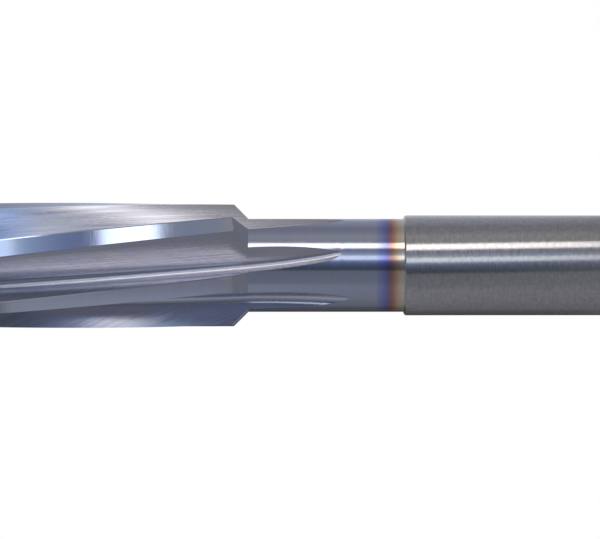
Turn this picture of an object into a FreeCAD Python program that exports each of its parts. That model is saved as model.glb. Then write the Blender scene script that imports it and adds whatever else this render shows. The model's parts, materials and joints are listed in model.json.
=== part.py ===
import FreeCAD, Part
import math
import os

# Machine reamer, millimetres. The origin is the centre of the shank's end face and +Z runs to the cutting tip.

# Turned blank
SHANK_DIAMETER = 10.0
HEAD_DIAMETER = 12.5
NECK_DIAMETER = 9.3
OVERALL_LENGTH = 100.0
SHANK_LENGTH = 40.0
NECK_LENGTH = 15.5
SHANK_END_CHAMFER = 0.6
SHANK_NECK_CHAMFER = 0.18
LEAD_CHAMFER = 0.9

# Teeth: the edges stand at uneven gaps, which repeat after half a turn, so a cut doesn't chatter
HELIX_LEAD = 320.0
FIRST_EDGE_ANGLE = -38.4
TOOTH_GAPS = (60.0, 60.7, 59.3)
MARGIN_WIDTH = 0.12
LAND_WIDTH = 1.62
LAND_RELIEF_ANGLE = 12.8

# Flutes: angles are measured from the radius through the cutting edge
RAKE_ANGLE = 3.0
FLUTE_BACK_ANGLE = 73.5
FLUTE_CORNER_RADIUS = 0.75
WHEEL_RADIUS = 49.0
WHEEL_STOP_ABOVE_NECK = 1.35
WHEEL_EXIT_ANGLE = 24.0

# Cutting bodies pass the blank by these amounts
RADIAL_OVERSHOOT = 2.0
AXIAL_OVERSHOOT = 1.0
LAND_OVERSHOOT = 0.8
SECTION_STEP = 1.0
EXIT_CLEARANCE = 0.3

HEAD_RADIUS = HEAD_DIAMETER / 2
SHANK_RADIUS = SHANK_DIAMETER / 2
NECK_RADIUS = NECK_DIAMETER / 2
HEAD_START = SHANK_LENGTH + NECK_LENGTH
OUTER_RADIUS = HEAD_RADIUS + RADIAL_OVERSHOOT
EDGES_PER_HALF_TURN = len(TOOTH_GAPS)

AXIS_POINT = FreeCAD.Vector(0, 0, 0)
AXIS_DIRECTION = FreeCAD.Vector(0, 0, 1)


def turned_blank():
    """The round blank: shank, neck and head with their chamfers."""
    profile = [
        (0, 0),
        (SHANK_RADIUS - SHANK_END_CHAMFER, 0),
        (SHANK_RADIUS, SHANK_END_CHAMFER),
        (SHANK_RADIUS, SHANK_LENGTH - SHANK_NECK_CHAMFER),
        (SHANK_RADIUS - SHANK_NECK_CHAMFER, SHANK_LENGTH),
        (NECK_RADIUS, SHANK_LENGTH),
        (NECK_RADIUS, HEAD_START),
        (HEAD_RADIUS, HEAD_START + HEAD_RADIUS - NECK_RADIUS),
        (HEAD_RADIUS, OVERALL_LENGTH - LEAD_CHAMFER),
        (HEAD_RADIUS - LEAD_CHAMFER, OVERALL_LENGTH),
        (0, OVERALL_LENGTH),
        (0, 0),
    ]
    outline = Part.makePolygon([FreeCAD.Vector(r, 0, z) for r, z in profile])
    return Part.Face(outline).revolve(AXIS_POINT, AXIS_DIRECTION, 360)


def twist_at(z):
    """Angle in degrees that a left-hand helix has turned through at height z, from the head's neck end."""
    return -360.0 * (z - HEAD_START) / HELIX_LEAD


def turned(x, y, degrees):
    """A point of the section plane turned about the axis."""
    angle = math.radians(degrees)
    return (x * math.cos(angle) - y * math.sin(angle), x * math.sin(angle) + y * math.cos(angle))


def placed(point, z, degrees):
    """A section point put at height z and turned about the axis."""
    x, y = turned(point[0], point[1], degrees)
    return FreeCAD.Vector(x, y, z)


def land_line():
    """Start of the relieved land behind a cutting edge that lies on +X, and its direction to the heel."""
    margin_angle = -math.degrees(MARGIN_WIDTH / HEAD_RADIUS)
    start = turned(HEAD_RADIUS, 0, margin_angle)
    direction = turned(0, -1, margin_angle - LAND_RELIEF_ANGLE)
    return start, direction


def cross(a, b):
    """Cross product of two directions of the section plane."""
    return a[0] * b[1] - a[1] * b[0]


def along(start, direction, distance):
    """The point at a distance from start along a direction."""
    return (start[0] + direction[0] * distance, start[1] + direction[1] * distance)


def land_section():
    """Closed section of the body that grinds the relief behind an edge on +X."""
    start, direction = land_line()
    outside = along(start, direction, -LAND_OVERSHOOT)
    inside = along(start, direction, LAND_WIDTH + LAND_OVERSHOOT)
    beyond = turned(OUTER_RADIUS, 0, math.degrees(math.atan2(inside[1], inside[0])))
    return [outside, inside, beyond]


def flute_walls(gap):
    """Directions of the cutting face and the back wall, the next tooth's heel, and where the two walls meet."""
    face = turned(1, 0, RAKE_ANGLE)
    back = turned(1, 0, FLUTE_BACK_ANGLE)
    start, direction = land_line()
    heel_of_edge = along(start, direction, LAND_WIDTH)
    heel = turned(heel_of_edge[0], heel_of_edge[1], gap)
    from_edge = (heel[0] - HEAD_RADIUS, heel[1])
    back_length = cross(face, from_edge) / cross(face, back)
    return face, back, heel, along(heel, back, -back_length)


def flute_section(gap):
    """Outer points and corner round of the flute in front of the cutting edge that lies on +X."""
    face, back, heel, corner = flute_walls(gap)
    half_angle = (FLUTE_BACK_ANGLE - RAKE_ANGLE) / 2
    run = FLUTE_CORNER_RADIUS / math.tan(math.radians(half_angle))
    bisector = turned(1, 0, RAKE_ANGLE + half_angle)
    centre_distance = FLUTE_CORNER_RADIUS / math.sin(math.radians(half_angle))
    face_outer = along((HEAD_RADIUS, 0), face, RADIAL_OVERSHOOT)
    face_end = along(corner, face, run)
    middle = along(corner, bisector, centre_distance - FLUTE_CORNER_RADIUS)
    back_start = along(corner, back, run)
    back_outer = along(heel, back, RADIAL_OVERSHOOT)
    return face_outer, face_end, middle, back_start, back_outer


def flute_wire(points, z, degrees, lift):
    """The flute's section at height z, moved out of the work along the wheel's exit direction."""
    exit_direction = turned(1, 0, WHEEL_EXIT_ANGLE)
    face_outer, face_end, middle, back_start, back_outer = [
        placed(along(point, exit_direction, lift), z, degrees) for point in points
    ]
    edges = [
        Part.makeLine(face_outer, face_end),
        Part.Arc(face_end, middle, back_start).toShape(),
        Part.makeLine(back_start, back_outer),
        Part.makeLine(back_outer, face_outer),
    ]
    return Part.Wire(edges)


def stations(first, last, step):
    """Evenly spaced values from first to last, both included, no further apart than step."""
    count = math.ceil(abs(last - first) / step)
    return [first + (last - first) * i / count for i in range(count + 1)]


def wheel_lift(distance):
    """Height of the round wheel's rim above its lowest point, at a distance along the work."""
    return WHEEL_RADIUS - math.sqrt(WHEEL_RADIUS ** 2 - distance ** 2)


def exit_length(gap):
    """Distance over which the wheel's rim rises from the flute's bottom until it is clear of the neck."""
    points = flute_section(gap)
    bottom = min(math.hypot(x, y) for x, y in points)
    depth = (NECK_RADIUS - bottom) / math.cos(math.radians(WHEEL_EXIT_ANGLE)) + EXIT_CLEARANCE
    return math.sqrt(WHEEL_RADIUS ** 2 - (WHEEL_RADIUS - depth) ** 2)


def flute_cutter(edge_angle, gap):
    """Body of one flute: helical through the head, then rising out of the neck on the wheel's radius."""
    points = flute_section(gap)
    stop = HEAD_START + WHEEL_STOP_ABOVE_NECK
    top = OVERALL_LENGTH + AXIAL_OVERSHOOT
    wires = []
    for z in stations(top, stop, SECTION_STEP):
        wires.append(flute_wire(points, z, edge_angle + twist_at(z), 0))
    for distance in stations(0, exit_length(gap), SECTION_STEP)[1:]:
        z = stop - distance
        wires.append(flute_wire(points, z, edge_angle + twist_at(z), wheel_lift(distance)))
    return Part.makeLoft(wires, True, False)


def land_cutter(edge_angle):
    """Body that grinds one tooth's relieved land over the whole head."""
    section = land_section()
    wires = []
    for z in stations(HEAD_START - AXIAL_OVERSHOOT, OVERALL_LENGTH + AXIAL_OVERSHOOT, SECTION_STEP):
        corners = [placed(point, z, edge_angle + twist_at(z)) for point in section]
        wires.append(Part.makePolygon(corners + corners[:1]))
    return Part.makeLoft(wires, True, False)


def edge_angles():
    """Each cutting edge's angle at the head's neck end, with the gap to the next edge."""
    angle = FIRST_EDGE_ANGLE
    edges = []
    for gap in TOOTH_GAPS * 2:
        edges.append((angle, gap))
        angle += gap
    return edges


def reamer():
    """The finished reamer as one solid."""
    body = turned_blank()
    cutters = []
    for angle, gap in edge_angles():
        cutters.append(flute_cutter(angle, gap))
        cutters.append(land_cutter(angle))
    return body.cut(cutters).removeSplitter()


os.makedirs("parts", exist_ok=True)
solid = reamer()
solid = solid.Solids[0]
solid.exportStep("parts/reamer.step")
print("reamer", solid.isValid(), round(solid.Volume, 2), solid.BoundBox)
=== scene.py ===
import json
import math

import bmesh
import bpy
from mathutils import Matrix, Vector


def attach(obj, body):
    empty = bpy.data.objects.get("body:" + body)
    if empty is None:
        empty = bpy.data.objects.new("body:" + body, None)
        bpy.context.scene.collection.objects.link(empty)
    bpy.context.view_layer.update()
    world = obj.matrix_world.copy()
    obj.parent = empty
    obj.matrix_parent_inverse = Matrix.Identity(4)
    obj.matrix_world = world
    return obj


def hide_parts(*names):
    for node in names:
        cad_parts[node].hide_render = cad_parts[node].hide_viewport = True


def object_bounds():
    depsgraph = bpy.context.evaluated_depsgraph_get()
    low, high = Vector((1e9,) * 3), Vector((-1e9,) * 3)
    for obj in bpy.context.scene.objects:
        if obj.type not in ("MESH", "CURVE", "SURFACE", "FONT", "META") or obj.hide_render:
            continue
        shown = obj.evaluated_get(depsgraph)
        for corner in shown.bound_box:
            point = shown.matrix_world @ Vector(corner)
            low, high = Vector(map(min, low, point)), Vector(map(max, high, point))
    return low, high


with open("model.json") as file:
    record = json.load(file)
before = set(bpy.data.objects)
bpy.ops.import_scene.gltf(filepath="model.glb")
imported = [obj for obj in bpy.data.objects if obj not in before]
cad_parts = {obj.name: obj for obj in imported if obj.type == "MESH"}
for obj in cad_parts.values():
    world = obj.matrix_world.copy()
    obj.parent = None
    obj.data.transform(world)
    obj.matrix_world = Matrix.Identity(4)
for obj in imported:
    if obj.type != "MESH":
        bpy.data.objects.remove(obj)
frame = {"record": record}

# Machine reamer, in metres: it stands on its shank's end with +Z towards the cutting tip.

MM = 0.001
cad_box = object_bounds()
mounts = {mount["name"]: mount for mount in frame["record"]["mounts"]}

# Turned form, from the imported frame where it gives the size
OVERALL_LENGTH = cad_box[1].z
SHANK_RADIUS = mounts["shank"]["dims"]["r_mm"] * MM
HEAD_RADIUS = 6.25 * MM
NECK_RADIUS = 4.65 * MM
SHANK_LENGTH = 40.0 * MM
HEAD_START = 55.5 * MM
HEAD_BACK = HEAD_START + HEAD_RADIUS - NECK_RADIUS
SHANK_END_CHAMFER = 0.6 * MM
SHANK_NECK_CHAMFER = 0.18 * MM
LEAD_CHAMFER = 0.9 * MM

# Teeth and flutes
HELIX_LEAD = 320.0 * MM
FIRST_EDGE_ANGLE = -38.4
TOOTH_GAPS = (60.0, 60.7, 59.3)
MARGIN_WIDTH = 0.12 * MM
LAND_WIDTH = 1.62 * MM
LAND_RELIEF_ANGLE = 12.8
RAKE_ANGLE = 3.0
FLUTE_BACK_ANGLE = 73.5
FLUTE_CORNER_RADIUS = 0.75 * MM
HEEL_ROLL = 8.0
HEEL_ROLL_WIDTH = 1.9 * MM
WHEEL_RADIUS = 49.0 * MM
WHEEL_STOP = HEAD_START + 1.35 * MM
WHEEL_EXIT_ANGLE = 24.0

# Points of a section, for each tooth and the flute in front of it
RAKE_STEPS = 7
WALL_STEPS = 42
FACET_STEPS = 8
ARC_STEPS = 14
CORNER_STEPS = 14
ROLL_STEPS = 8
CORNER_SHARE = 4.0 * MM
TOOTH_STEPS = WALL_STEPS + FACET_STEPS + ARC_STEPS
HEAD_STEP = 1.5 * MM
EXIT_STEP = 0.35 * MM
CREASE_ANGLE = 10.0
MERGE_DISTANCE = SHANK_NECK_CHAMFER / 1000
OUTSIDE = 2.0 * MM
HALVINGS = 40


def turned(x, y, degrees):
    """A point of the section plane turned about the axis."""
    angle = math.radians(degrees)
    return Vector((x * math.cos(angle) - y * math.sin(angle), x * math.sin(angle) + y * math.cos(angle)))


def polar_angle(point):
    """Angle of a section point about the axis, in degrees."""
    return math.degrees(math.atan2(point.y, point.x))


RELIEF_START = turned(HEAD_RADIUS, 0, -math.degrees(MARGIN_WIDTH / HEAD_RADIUS))
RELIEF_DIRECTION = turned(0, -1, -math.degrees(MARGIN_WIDTH / HEAD_RADIUS) - LAND_RELIEF_ANGLE)
HEEL = RELIEF_START + RELIEF_DIRECTION * LAND_WIDTH
HEEL_RADIUS = HEEL.length


def flute_path(gap):
    """The flute's wall as points from outside the edge on +X, round the corner, to outside the next heel."""
    heel = turned(HEEL.x, HEEL.y, gap)
    edge = Vector((HEAD_RADIUS, 0))
    face = turned(1, 0, RAKE_ANGLE)
    back = turned(1, 0, FLUTE_BACK_ANGLE)
    corner = heel - back * face.cross(heel - edge) / face.cross(back)
    rolled = [heel + back * OUTSIDE, heel]
    for i in range(ROLL_STEPS):
        angle = FLUTE_BACK_ANGLE + HEEL_ROLL * (1 - (i + 0.5) / ROLL_STEPS) ** 2
        rolled.append(rolled[-1] - turned(HEEL_ROLL_WIDTH / ROLL_STEPS, 0, angle))
    opening = polar_angle(rolled[-1] - corner) - RAKE_ANGLE
    run = FLUTE_CORNER_RADIUS / math.tan(math.radians(opening) / 2)
    centre = corner + turned(run, FLUTE_CORNER_RADIUS, RAKE_ANGLE)
    first = turned(0, -FLUTE_CORNER_RADIUS, RAKE_ANGLE)
    turns = [(opening - 180) * i / CORNER_STEPS for i in range(CORNER_STEPS + 1)]
    arc = [centre + turned(first.x, first.y, turn) for turn in turns]
    return [edge + face * OUTSIDE] + arc + rolled[::-1]


def crossing(inside, outside, radius):
    """Point between an inner and an outer point that lies at a radius from the axis."""
    low, high = 0.0, 1.0
    for _ in range(HALVINGS):
        middle = (low + high) / 2
        if inside.lerp(outside, middle).length < radius:
            low = middle
        else:
            high = middle
    return inside.lerp(outside, high)


def clipped(path, radius):
    """The part of a flute's path inside the turned form, or its lowest point where it stays clear."""
    inner = [i for i, point in enumerate(path) if point.length < radius]
    if not inner:
        lowest = min(path, key=lambda point: point.length)
        return [lowest * (radius / lowest.length)] * 2
    first, last = inner[0], inner[-1]
    start = crossing(path[first], path[first - 1], radius)
    end = crossing(path[last], path[last + 1], min(radius, HEEL_RADIUS))
    return [start] + path[first:last + 1] + [end]


def resampled(path, steps):
    """Points spread along a path, closer together where it bends."""
    pairs = list(zip(path, path[1:]))
    shortest = CORNER_SHARE / CORNER_STEPS
    weights = [(b - a).length for a, b in pairs]
    weights = [w + shortest if 0 < i < len(pairs) - 1 else w for i, w in enumerate(weights)]
    total = sum(weights)
    if not total:
        return [path[0]] * (steps + 1)
    points = []
    i, passed = 0, 0.0
    for step in range(steps + 1):
        target = total * step / steps
        while i < len(weights) - 1 and passed + weights[i] < target:
            passed += weights[i]
            i += 1
        share = min(1.0, (target - passed) / weights[i]) if weights[i] else 1.0
        points.append(path[i].lerp(path[i + 1], share))
    return points


def flute_wall(gap, radius, lift):
    """Section points from the cutting edge on +X, down its face, round the corner and up to the next heel."""
    exit_move = turned(lift, 0, WHEEL_EXIT_ANGLE)
    return resampled(clipped([point + exit_move for point in flute_path(gap)], radius), WALL_STEPS)


def arc_points(first, last, radius, steps):
    """Points on a circle after one angle and up to another, in degrees."""
    return [turned(radius, 0, first + (last - first) * i / steps) for i in range(1, steps + 1)]


def land_points(start, end, edge_angle, radius):
    """Section points of a tooth's land, from its heel to its cutting edge at a given angle."""
    first = polar_angle(start)
    last = first + (polar_angle(end) - first) % 360.0
    if radius < HEEL_RADIUS:
        share = FACET_STEPS / (FACET_STEPS + ARC_STEPS) * (HEEL_RADIUS - radius) / (HEEL_RADIUS - NECK_RADIUS)
        middle = first + (last - first) * max(0.0, share)
        return arc_points(first, middle, radius, FACET_STEPS) + arc_points(middle, last, radius, ARC_STEPS)
    facet_end = crossing(HEEL, RELIEF_START - RELIEF_DIRECTION * MARGIN_WIDTH, radius)
    facet = [HEEL.lerp(facet_end, i / FACET_STEPS) for i in range(1, FACET_STEPS + 1)]
    facet = [turned(point.x, point.y, edge_angle) for point in facet]
    middle = polar_angle(facet[-1])
    last = middle + (polar_angle(end) - middle) % 360.0
    return facet + arc_points(middle, last, radius, ARC_STEPS)


def twist_at(z):
    """Angle that the left-hand helix has turned through at height z, in degrees."""
    return -360.0 * (max(z, SHANK_LENGTH) - HEAD_START) / HELIX_LEAD


def wheel_lift(z):
    """How far the round wheel has left the flute's bottom at height z."""
    distance = min(WHEEL_RADIUS, max(0.0, WHEEL_STOP - z))
    return WHEEL_RADIUS - math.sqrt(WHEEL_RADIUS ** 2 - distance ** 2)


def section(z, radius):
    """All points round the tool at height z, where the turned form has the given radius."""
    edges = []
    angle = FIRST_EDGE_ANGLE + twist_at(z)
    for gap in TOOTH_GAPS * 2:
        edges.append((angle, gap))
        angle += gap
    walls = []
    for angle, gap in edges:
        walls.append([turned(point.x, point.y, angle) for point in flute_wall(gap, radius, wheel_lift(z))])
    points = []
    for i, (angle, gap) in enumerate(edges):
        next_wall = walls[(i + 1) % len(walls)]
        points += walls[i] + land_points(walls[i][-1], next_wall[0], angle + gap, radius)[:-1]
    return points


def steps_between(first, last, step):
    """Evenly spaced heights after first and up to last."""
    count = math.ceil((last - first) / step)
    return [first + (last - first) * i / count for i in range(1, count + 1)]


def turned_radius(z):
    """Radius of the turned form at height z, from the neck up."""
    back = NECK_RADIUS + max(0.0, z - HEAD_START)
    lead = HEAD_RADIUS - LEAD_CHAMFER + OVERALL_LENGTH - z
    return min(HEAD_RADIUS, back, lead)


def stations():
    """Height and radius of each ring of points, from the shank's end to the tip."""
    rings = [
        (0.0, SHANK_RADIUS - SHANK_END_CHAMFER),
        (SHANK_END_CHAMFER, SHANK_RADIUS),
        (SHANK_LENGTH - SHANK_NECK_CHAMFER, SHANK_RADIUS),
        (SHANK_LENGTH, SHANK_RADIUS - SHANK_NECK_CHAMFER),
        (SHANK_LENGTH, NECK_RADIUS),
    ]
    heel_drop = HEEL_RADIUS - NECK_RADIUS
    heel_at_lead = OVERALL_LENGTH - LEAD_CHAMFER + HEAD_RADIUS - HEEL_RADIUS
    heights = steps_between(SHANK_LENGTH, HEAD_START, EXIT_STEP)
    heights += steps_between(HEAD_START, HEAD_START + heel_drop, EXIT_STEP)
    heights += steps_between(HEAD_START + heel_drop, HEAD_BACK, EXIT_STEP)
    heights += steps_between(HEAD_BACK, OVERALL_LENGTH - LEAD_CHAMFER, HEAD_STEP)
    heights += steps_between(OVERALL_LENGTH - LEAD_CHAMFER, heel_at_lead, EXIT_STEP)
    heights += steps_between(heel_at_lead, OVERALL_LENGTH, EXIT_STEP)
    return rings + [(z, turned_radius(z)) for z in heights]


def region(place, z):
    """Finish of the strip that starts at a place of the section, with its ring at height z."""
    if z <= SHANK_LENGTH:
        return "shank"
    along = place % TOOTH_STEPS
    if along < RAKE_STEPS:
        return "rake"
    if along < WALL_STEPS:
        return "flute"
    if z <= HEAD_BACK or z > OVERALL_LENGTH - LEAD_CHAMFER:
        return "neck"
    return "land"


FINISHES = ("shank", "neck", "rake", "flute", "land")

# Grinding lines: shift in millimetres that gives each tooth its own, and how far a rake's lean
TOOTH_SHIFT = 40.0
RAKE_LAY_ANGLE = -22.0

# How blue the coat's colour is on each face, from 0 to 1, with patches on some of the teeth
NECK_BLUE = 0.45
LAND_BLUE = (0.6, 0.5, 0.6, 0.5, 0.4, 0.8)
# Each land holds only LAND_LEAST_SHARE of its blue, so it is greyer, up to LAND_BLUE_START near the head's
# back end, and reaches full blue over LAND_BLUE_FADE
LAND_LEAST_SHARE = 0.2
LAND_BLUE_START = 57.2 * MM
LAND_BLUE_FADE = 0.8 * MM
RAKE_BLUE = 0.05
PATCHED_RAKE = 4
RAKE_PATCH_BLUE = 0.6
RAKE_PATCH_END = 63.0 * MM
FLUTE_BLUE = 0.12
PATCHED_FLUTE = 0
FLUTE_PATCH_BLUE = 0.8
FLUTE_PATCH_START = 75.5 * MM
PATCH_FADE = 4.0 * MM


def tooth_angle(tooth, z):
    """Angle of a cutting edge at height z, counted round from the first one."""
    return FIRST_EDGE_ANGLE + twist_at(z) + sum((TOOTH_GAPS * 2)[:tooth])


def lay_place(finish, place, position):
    """Place across and along the grinding lines of a surface, in millimetres, for its UV map."""
    x, y, z = position
    tooth = place // TOOTH_STEPS
    local = turned(x, y, -tooth_angle(tooth, z)) / MM
    height = z / MM
    if finish == "flute":
        return Vector((local.y + TOOTH_SHIFT * tooth, height))
    if finish == "rake":
        return turned(local.x + TOOTH_SHIFT * tooth, height, -RAKE_LAY_ANGLE)
    return Vector((height, math.radians(polar_angle(local)) * HEAD_RADIUS / MM + TOOTH_SHIFT * tooth))


def rise(z, start, length):
    """How far height z lies along a stretch, from 0 before it to 1 past it."""
    return min(1.0, max(0.0, (z - start) / length))


def coat_blue(finish, tooth, z):
    """How blue the coat is, from 0 to 1, on one face of a tooth at height z."""
    if finish == "land":
        return LAND_BLUE[tooth] * max(LAND_LEAST_SHARE, rise(z, LAND_BLUE_START, LAND_BLUE_FADE))
    if finish == "rake":
        patch = 1.0 - rise(z, RAKE_PATCH_END, PATCH_FADE) if tooth == PATCHED_RAKE else 0.0
        return RAKE_BLUE + RAKE_PATCH_BLUE * patch
    if finish == "flute":
        patch = rise(z, FLUTE_PATCH_START, PATCH_FADE) if tooth == PATCHED_FLUTE else 0.0
        return FLUTE_BLUE + FLUTE_PATCH_BLUE * patch
    return NECK_BLUE


def set_finish(face, ring_height, place, uv, blue):
    """Finish, grinding map and blueness of one face below the ring at a given height."""
    places = sorted({vert[place] for vert in face.verts})
    start = places[-1] if places[-1] - places[0] > 1 else places[0]
    finish = region(start, ring_height)
    face.material_index = FINISHES.index(finish)
    for loop in face.loops:
        loop[uv].uv = lay_place(finish, start, loop.vert.co)
        loop[blue] = coat_blue(finish, start // TOOTH_STEPS, loop.vert.co.z)


def reamer_mesh():
    """The whole tool as one skin, drawn from ring to ring."""
    bm = bmesh.new()
    place = bm.verts.layers.int.new("place")
    uv = bm.loops.layers.uv.new("grinding")
    blue = bm.loops.layers.float.new("coat_blue")
    rings = stations()
    points = section(*rings[0])
    verts = [bm.verts.new((point.x, point.y, rings[0][0])) for point in points]
    for i, vert in enumerate(verts):
        vert[place] = i
    ring = [bm.edges.new((verts[i - 1], verts[i])) for i in range(len(verts))]
    for z, radius in rings[1:]:
        made = bmesh.ops.extrude_edge_only(bm, edges=ring)["geom"]
        verts = {item for item in made if isinstance(item, bmesh.types.BMVert)}
        points = section(z, radius)
        for vert in verts:
            point = points[vert[place]]
            vert.co = (point.x, point.y, z)
        ring = [item for item in made if isinstance(item, bmesh.types.BMEdge) and set(item.verts) <= verts]
        for face in {face for edge in ring for face in edge.link_faces}:
            set_finish(face, z, place, uv, blue)
    top = bmesh.ops.contextual_create(bm, geom=ring)["faces"]
    under = bmesh.ops.contextual_create(bm, geom=[edge for edge in bm.edges if edge.is_boundary])["faces"]
    for face in top + under:
        face.material_index = FINISHES.index("neck" if face in top else "shank")
    bmesh.ops.remove_doubles(bm, verts=bm.verts, dist=MERGE_DISTANCE)
    bmesh.ops.recalc_face_normals(bm, faces=bm.faces)
    for face in bm.faces:
        face.smooth = True
    mesh = bpy.data.meshes.new("reamer_body")
    bm.to_mesh(mesh)
    bm.free()
    mesh.set_sharp_from_angle(angle=math.radians(CREASE_ANGLE))
    return mesh


# Finishes: colours of the metal and its coating, and the grinding marks

BARE_METAL = (0.55, 0.55, 0.57)
COAT = (0.51, 0.54, 0.73)
GREY_COAT = (0.58, 0.575, 0.635)
BLUE_COAT = (0.42, 0.53, 0.80)
COAT_END = 39.9 * MM
COAT_FADE = 3.2 * MM
COAT_RING = (
    (0.00, (0.84, 0.77, 0.69)),
    (0.14, (0.84, 0.76, 0.67)),
    (0.26, (0.82, 0.64, 0.48)),
    (0.36, (0.70, 0.43, 0.30)),
    (0.46, (0.50, 0.28, 0.26)),
    (0.55, (0.36, 0.26, 0.40)),
    (0.66, (0.30, 0.32, 0.68)),
    (0.78, (0.36, 0.41, 0.75)),
    (1.00, COAT),
)
RING_WAVER = 0.25 * MM
RING_WAVER_SCALE = 260.0
COAT_PATCH_SCALE = 300.0
COAT_PATCH_SHARE = 0.4
COAT_PATCH_MIDDLE = 0.7
COAT_PATCH_DEPTH = 0.6
COAT_RING_TOP = 0.85

# Grinding lines and mottle: noise scales, shares, and the bump's height
BROAD_SCALE = 0.16
FINE_SHARE = 0.7
BROAD_SHARE = 0.9
LINE_HEIGHT = 0.03 * MM
LINE_RANGE = (0.35, 0.65)
MOTTLE_SCALE = 2600.0
MOTTLE_SHARE = 0.6
MOTTLE_RANGE = (0.38, 0.62)
DARK_METAL = tuple(value * 0.88 for value in BARE_METAL)
LIGHT_METAL = tuple(value * 1.08 for value in BARE_METAL)


def new_group(name, inputs, outputs):
    """An empty shader node group with named sockets."""
    tree = bpy.data.node_groups.new(name, "ShaderNodeTree")
    for socket, kind in inputs:
        tree.interface.new_socket(socket, in_out="INPUT", socket_type=kind)
    for socket, kind in outputs:
        tree.interface.new_socket(socket, in_out="OUTPUT", socket_type=kind)
    return tree, tree.nodes.new("NodeGroupInput"), tree.nodes.new("NodeGroupOutput")


def math_node(tree, operation, first, second):
    """A maths node with each input a socket or a number."""
    node = tree.nodes.new("ShaderNodeMath")
    node.operation = operation
    for socket, value in zip(node.inputs, (first, second)):
        if isinstance(value, (int, float)):
            socket.default_value = value
        else:
            tree.links.new(value, socket)
    return node.outputs[0]


def noise(tree, place, scale, detail, distortion=0.0):
    """A noise texture's value at a place."""
    node = tree.nodes.new("ShaderNodeTexNoise")
    node.inputs["Scale"].default_value = scale
    node.inputs["Detail"].default_value = detail
    node.inputs["Distortion"].default_value = distortion
    tree.links.new(place, node.inputs["Vector"])
    return node.outputs["Fac"]


def grinding_lines():
    """Group: fine and broad lines that run along the second axis of a place in millimetres."""
    tree, inlet, outlet = new_group(
        "grinding lines",
        (("Place", "NodeSocketVector"), ("Fineness", "NodeSocketVector"), ("Depth", "NodeSocketFloat")),
        (("Line", "NodeSocketFloat"), ("Broad", "NodeSocketFloat"), ("Normal", "NodeSocketVector")),
    )
    stretch = tree.nodes.new("ShaderNodeVectorMath")
    stretch.operation = "MULTIPLY"
    tree.links.new(inlet.outputs["Place"], stretch.inputs[0])
    tree.links.new(inlet.outputs["Fineness"], stretch.inputs[1])
    fine = noise(tree, stretch.outputs[0], 1.0, 4.0)
    broad = noise(tree, stretch.outputs[0], BROAD_SCALE, 2.0)
    fine_part = math_node(tree, "MULTIPLY", fine, FINE_SHARE)
    both = math_node(tree, "ADD", fine_part, math_node(tree, "MULTIPLY", broad, BROAD_SHARE))
    bump = tree.nodes.new("ShaderNodeBump")
    bump.inputs["Distance"].default_value = LINE_HEIGHT
    tree.links.new(inlet.outputs["Depth"], bump.inputs["Strength"])
    tree.links.new(both, bump.inputs["Height"])
    tree.links.new(fine, outlet.inputs["Line"])
    tree.links.new(broad, outlet.inputs["Broad"])
    tree.links.new(bump.outputs["Normal"], outlet.inputs["Normal"])
    return tree


def colour_mix(tree, factor, first, second):
    """A colour between two others, each a socket or a colour."""
    node = tree.nodes.new("ShaderNodeMix")
    node.data_type = "RGBA"
    tree.links.new(factor, node.inputs["Factor"])
    for name, value in (("A", first), ("B", second)):
        socket = next(s for s in node.inputs if s.name == name and s.type == "RGBA")
        if isinstance(value, tuple):
            socket.default_value = (*value, 1)
        else:
            tree.links.new(value, socket)
    return next(s for s in node.outputs if s.type == "RGBA")


def value_range(tree, value, low, high, to_low, to_high):
    """A value moved from one range to another and held inside it."""
    node = tree.nodes.new("ShaderNodeMapRange")
    tree.links.new(value, node.inputs["Value"])
    for name, number in (("From Min", low), ("From Max", high), ("To Min", to_low), ("To Max", to_high)):
        node.inputs[name].default_value = number
    return node.outputs["Result"]


def coating_colour():
    """Group: the coat's colour over the tool, with the ring of colours where it ends on the neck."""
    tree, inlet, outlet = new_group(
        "coating colour",
        (("Object", "NodeSocketVector"), ("Cloud", "NodeSocketFloat"), ("Blue", "NodeSocketFloat")),
        (("Colour", "NodeSocketColor"),),
    )
    split = tree.nodes.new("ShaderNodeSeparateXYZ")
    tree.links.new(inlet.outputs["Object"], split.inputs[0])
    waver = noise(tree, inlet.outputs["Object"], RING_WAVER_SCALE, 2.0)
    height = math_node(tree, "ADD", split.outputs["Z"], math_node(tree, "MULTIPLY", waver, RING_WAVER))
    along = value_range(tree, height, COAT_END, COAT_END + COAT_FADE, 0.0, 1.0)
    ramp = tree.nodes.new("ShaderNodeValToRGB")
    tree.links.new(along, ramp.inputs["Fac"])
    elements = ramp.color_ramp.elements
    while len(elements) < len(COAT_RING):
        elements.new(0.5)
    for element, (position, colour) in zip(elements, COAT_RING):
        element.position = position
        element.color = (*colour, 1)
    patchy = noise(tree, inlet.outputs["Object"], COAT_PATCH_SCALE, 3.0, 0.6)
    streaks = math_node(tree, "MULTIPLY", patchy, COAT_PATCH_SHARE)
    streaks = math_node(tree, "ADD", streaks, inlet.outputs["Cloud"])
    centred = math_node(tree, "SUBTRACT", streaks, COAT_PATCH_MIDDLE)
    uneven = math_node(tree, "MULTIPLY", centred, COAT_PATCH_DEPTH)
    blue = math_node(tree, "ADD", inlet.outputs["Blue"], uneven)
    coat = colour_mix(tree, value_range(tree, blue, 0.0, 1.0, 0.0, 1.0), GREY_COAT, BLUE_COAT)
    coated = value_range(tree, along, COAT_RING_TOP, 1.0, 0.0, 1.0)
    tree.links.new(colour_mix(tree, coated, ramp.outputs["Color"], coat), outlet.inputs["Colour"])
    return tree


LINES = grinding_lines()
COATING = coating_colour()


def place_group(tree, group, links, values=()):
    """A group placed in a material, with linked sockets and values."""
    node = tree.nodes.new("ShaderNodeGroup")
    node.node_tree = group
    for name, socket in links:
        tree.links.new(socket, node.inputs[name])
    for name, value in values:
        node.inputs[name].default_value = value
    return node


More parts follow.
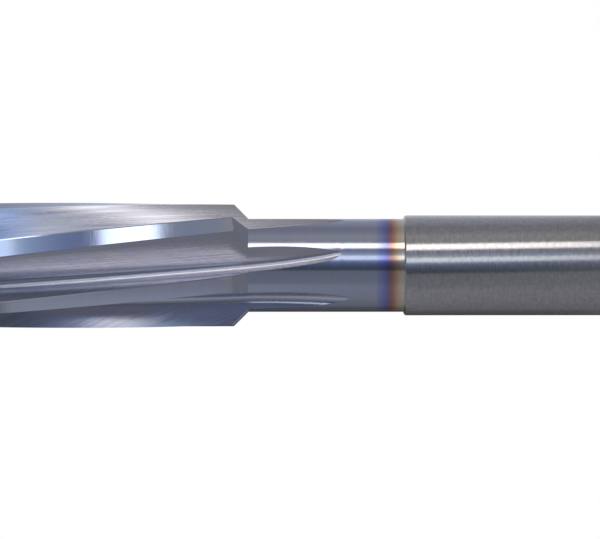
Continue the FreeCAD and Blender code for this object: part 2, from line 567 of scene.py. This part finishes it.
def ground_metal(name, fineness, depth, roughness, spread, anisotropy, coated=True):
    """Ground metal whose lines follow the piece's own grinding map."""
    material = bpy.data.materials.new(name)
    material.use_nodes = True
    tree = material.node_tree
    shader = tree.nodes["Principled BSDF"]
    shader.inputs["Metallic"].default_value = 1.0
    shader.inputs["Anisotropic"].default_value = anisotropy
    map_node = tree.nodes.new("ShaderNodeUVMap")
    map_node.uv_map = "grinding"
    place = tree.nodes.new("ShaderNodeTexCoord").outputs["Object"]
    lines = place_group(
        tree, LINES, (("Place", map_node.outputs["UV"]),), (("Fineness", fineness), ("Depth", depth))
    )
    tree.links.new(lines.outputs["Normal"], shader.inputs["Normal"])
    tangent = tree.nodes.new("ShaderNodeTangent")
    tangent.direction_type = "UV_MAP"
    tangent.uv_map = "grinding"
    tree.links.new(tangent.outputs[0], shader.inputs["Tangent"])
    rough = value_range(tree, lines.outputs["Line"], *LINE_RANGE, roughness - spread, roughness + spread)
    tree.links.new(rough, shader.inputs["Roughness"])
    if coated:
        blue = tree.nodes.new("ShaderNodeAttribute")
        blue.attribute_name = "coat_blue"
        links = (("Object", place), ("Cloud", lines.outputs["Broad"]), ("Blue", blue.outputs["Fac"]))
        colour = place_group(tree, COATING, links).outputs["Colour"]
    else:
        colour = shank_colour(tree, place, lines.outputs["Line"])
    tree.links.new(colour, shader.inputs["Base Color"])
    return material


def shank_colour(tree, place, line):
    """Bare ground metal, faintly mottled."""
    mottle = math_node(tree, "MULTIPLY", noise(tree, place, MOTTLE_SCALE, 3.0), MOTTLE_SHARE)
    both = math_node(tree, "ADD", mottle, math_node(tree, "MULTIPLY", line, 1 - MOTTLE_SHARE))
    return colour_mix(tree, value_range(tree, both, *MOTTLE_RANGE, 0.0, 1.0), DARK_METAL, LIGHT_METAL)


# Each finish: fineness across and along its lines, depth, roughness, its spread, and how one-sided it is
GRINDS = {
    "shank": ((14.0, 0.6, 1.0), 0.03, 0.18, 0.03, 0.5),
    "neck": ((9.0, 0.5, 1.0), 0.03, 0.16, 0.03, 0.5),
    "rake": ((5.0, 0.16, 1.0), 0.20, 0.18, 0.04, 0.6),
    "flute": ((6.0, 0.06, 1.0), 0.35, 0.23, 0.05, 0.75),
    "land": ((10.0, 0.4, 1.0), 0.03, 0.14, 0.03, 0.5),
}

reamer = bpy.data.objects.new("reamer_body", reamer_mesh())
bpy.context.collection.objects.link(reamer)
for finish in FINISHES:
    fineness, depth, roughness, spread, anisotropy = GRINDS[finish]
    reamer.data.materials.append(
        ground_metal(finish + "_finish", fineness, depth, roughness, spread, anisotropy, finish != "shank")
    )
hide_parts("reamer")
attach(reamer, "root")

# Studio: strips stand round the axis at these angles from the camera's side, -Y, towards +X
STUDIO_RADIUS = 1.15
TENT_RADIUS = STUDIO_RADIUS * 1.1
TENT_SEGMENTS = 360
STUDIO_FOOT = -0.7
STUDIO_TOP = 0.9


def studio_strip(name, first, last, radiance, colour, low=STUDIO_FOOT, high=STUDIO_TOP):
    """Tall soft light that fills the view from the tool between two angles about its axis."""
    middle = math.radians((first + last) / 2)
    width = 2 * STUDIO_RADIUS * math.tan(math.radians(last - first) / 2)
    light = bpy.data.lights.new(name, "AREA")
    light.shape = "RECTANGLE"
    light.size = width
    light.size_y = high - low
    light.energy = radiance * math.pi * width * (high - low)
    light.color = colour
    lamp = bpy.data.objects.new(name, light)
    bpy.context.collection.objects.link(lamp)
    outward = Vector((math.sin(middle), -math.cos(middle), 0))
    up = Vector((0, 0, 1))
    across = up.cross(outward)
    place = outward * STUDIO_RADIUS + up * (low + high) / 2
    turn = Matrix((across, up, outward)).transposed().to_quaternion()
    lamp.matrix_world = Matrix.LocRotScale(place, turn, None)
    lamp.visible_camera = False
    return lamp


# Light tent round the tool: brightness of its cloth by angle from the camera's side, -Y, towards +X
TENT_LEVELS = (
    (-180, (0.10, 0.10, 0.10)),
    (-158, (0.07, 0.07, 0.07)),
    (-130, (0.12, 0.12, 0.12)),
    (-116, (0.20, 0.20, 0.21)),
    (-60, (0.24, 0.24, 0.27)),
    (-30, (0.205, 0.21, 0.23)),
    (-14, (0.19, 0.20, 0.22)),
    (-11, (0.055, 0.065, 0.075)),
    (-4, (0.075, 0.09, 0.12)),
    (2, (0.10, 0.125, 0.20)),
    (8, (0.16, 0.20, 0.31)),
    (13, (0.36, 0.42, 0.60)),
    (24, (0.50, 0.58, 0.62)),
    (27, (0.40, 0.46, 0.53)),
    (32, (0.30, 0.33, 0.42)),
    (38, (0.20, 0.215, 0.30)),
    (43, (0.20, 0.205, 0.26)),
    (56, (0.30, 0.28, 0.28)),
    (60, (0.33, 0.32, 0.32)),
    (76, (0.39, 0.38, 0.38)),
    (90, (0.29, 0.28, 0.29)),
    (106, (0.26, 0.255, 0.29)),
    (118, (0.33, 0.33, 0.37)),
    (140, (0.40, 0.41, 0.45)),
    (160, (0.55, 0.57, 0.65)),
    (180, (0.75, 0.77, 0.85)),
)


def tent_level(angle):
    """Brightness of the tent's cloth at an angle, between the levels set for it."""
    for (first, a), (last, b) in zip(TENT_LEVELS, TENT_LEVELS[1:]):
        if angle <= last:
            share = (angle - first) / (last - first)
            return [x + (y - x) * share for x, y in zip(a, b)]
    return TENT_LEVELS[-1][1]


def light_tent():
    """A round wall of lit cloth, seen only in the tool's reflections."""
    bm = bmesh.new()
    glow_of = bm.loops.layers.float_color.new("glow")
    made = bmesh.ops.create_circle(bm, segments=TENT_SEGMENTS, radius=TENT_RADIUS)["verts"]
    edges = list(bm.edges)
    for vert in made:
        vert.co.z = STUDIO_FOOT
    top = bmesh.ops.extrude_edge_only(bm, edges=edges)["geom"]
    upper = [item for item in top if isinstance(item, bmesh.types.BMVert)]
    bmesh.ops.translate(bm, verts=upper, vec=(0, 0, STUDIO_TOP - STUDIO_FOOT))
    for face in bm.faces:
        middle = face.calc_center_median()
        angle = math.degrees(math.atan2(middle.x, -middle.y))
        for loop in face.loops:
            loop[glow_of] = (*tent_level(angle), 1)
    mesh = bpy.data.meshes.new("light_tent")
    bm.to_mesh(mesh)
    bm.free()
    tent = bpy.data.objects.new("light_tent", mesh)
    bpy.context.collection.objects.link(tent)
    material = bpy.data.materials.new("lit_cloth")
    material.use_nodes = True
    nodes, links = material.node_tree.nodes, material.node_tree.links
    nodes.remove(nodes["Principled BSDF"])
    cloth = nodes.new("ShaderNodeEmission")
    level = nodes.new("ShaderNodeAttribute")
    level.attribute_name = "glow"
    links.new(level.outputs["Color"], cloth.inputs["Color"])
    links.new(cloth.outputs[0], nodes["Material Output"].inputs["Surface"])
    mesh.materials.append(material)
    tent.visible_camera = False


studio_strip("key_strip", 43, 56, 2.1, (1.0, 0.96, 0.88))
studio_strip("fill_strip", 13.5, 23.5, 0.75, (1.0, 0.98, 0.95))
studio_strip("low_panel", -112, -34, 0.17, (0.97, 0.98, 1.0), low=0.08)
light_tent()


# Brightness of the room round the tent, of the backdrop and of the floor's colour
ROOM_LEVEL = 0.25
BACKDROP_LEVEL = 1.0
FLOOR_LEVEL = 0.8
FLOOR_RADIUS = 0.26


def white_studio(inside, background):
    """World: one even level for the light on the tool, and a plain pale background behind it."""
    world = bpy.data.worlds.new("studio")
    bpy.context.scene.world = world
    world.use_nodes = True
    nodes, links = world.node_tree.nodes, world.node_tree.links
    room = nodes["Background"]
    room.inputs["Color"].default_value = (inside, inside, inside, 1)
    backdrop = nodes.new("ShaderNodeBackground")
    backdrop.inputs["Color"].default_value = (background, background, background, 1)
    path = nodes.new("ShaderNodeLightPath")
    mix = nodes.new("ShaderNodeMixShader")
    links.new(path.outputs["Is Camera Ray"], mix.inputs["Fac"])
    links.new(room.outputs[0], mix.inputs[1])
    links.new(backdrop.outputs[0], mix.inputs[2])
    links.new(mix.outputs[0], nodes["World Output"].inputs["Surface"])


def pale_floor():
    """Round plain floor that the tool stands on."""
    bm = bmesh.new()
    bmesh.ops.create_circle(bm, cap_ends=True, segments=96, radius=FLOOR_RADIUS)
    mesh = bpy.data.meshes.new("floor")
    bm.to_mesh(mesh)
    bm.free()
    floor = bpy.data.objects.new("floor", mesh)
    bpy.context.collection.objects.link(floor)
    material = bpy.data.materials.new("pale_floor")
    material.use_nodes = True
    shader = material.node_tree.nodes["Principled BSDF"]
    shader.inputs["Base Color"].default_value = (FLOOR_LEVEL, FLOOR_LEVEL, FLOOR_LEVEL, 1)
    mesh.materials.append(material)


white_studio(ROOM_LEVEL, BACKDROP_LEVEL)
bpy.context.scene.view_settings.view_transform = "Standard"
pale_floor()

# Camera: level, square to the axis, and turned on its side so that the tip is at the left
VIEW_LENGTH = 60.0 * MM
VIEW_MIDDLE = 50.35 * MM
VIEW_SIDE = -0.415 * MM
CAMERA_DISTANCE = 0.45


def side_camera():
    """Camera that sees a given length of the tool, with the tool's axis across the picture."""
    data = bpy.data.cameras.new("camera")
    data.lens = data.sensor_width * CAMERA_DISTANCE / VIEW_LENGTH
    data.clip_start = 0.02
    camera = bpy.data.objects.new("camera", data)
    bpy.context.collection.objects.link(camera)
    right, up, back = Vector((0, 0, -1)), Vector((1, 0, 0)), Vector((0, -1, 0))
    turn = Matrix((right, up, back)).transposed().to_quaternion()
    place = Vector((VIEW_SIDE, -CAMERA_DISTANCE, VIEW_MIDDLE))
    camera.matrix_world = Matrix.LocRotScale(place, turn, None)
    bpy.context.scene.camera = camera


side_camera()
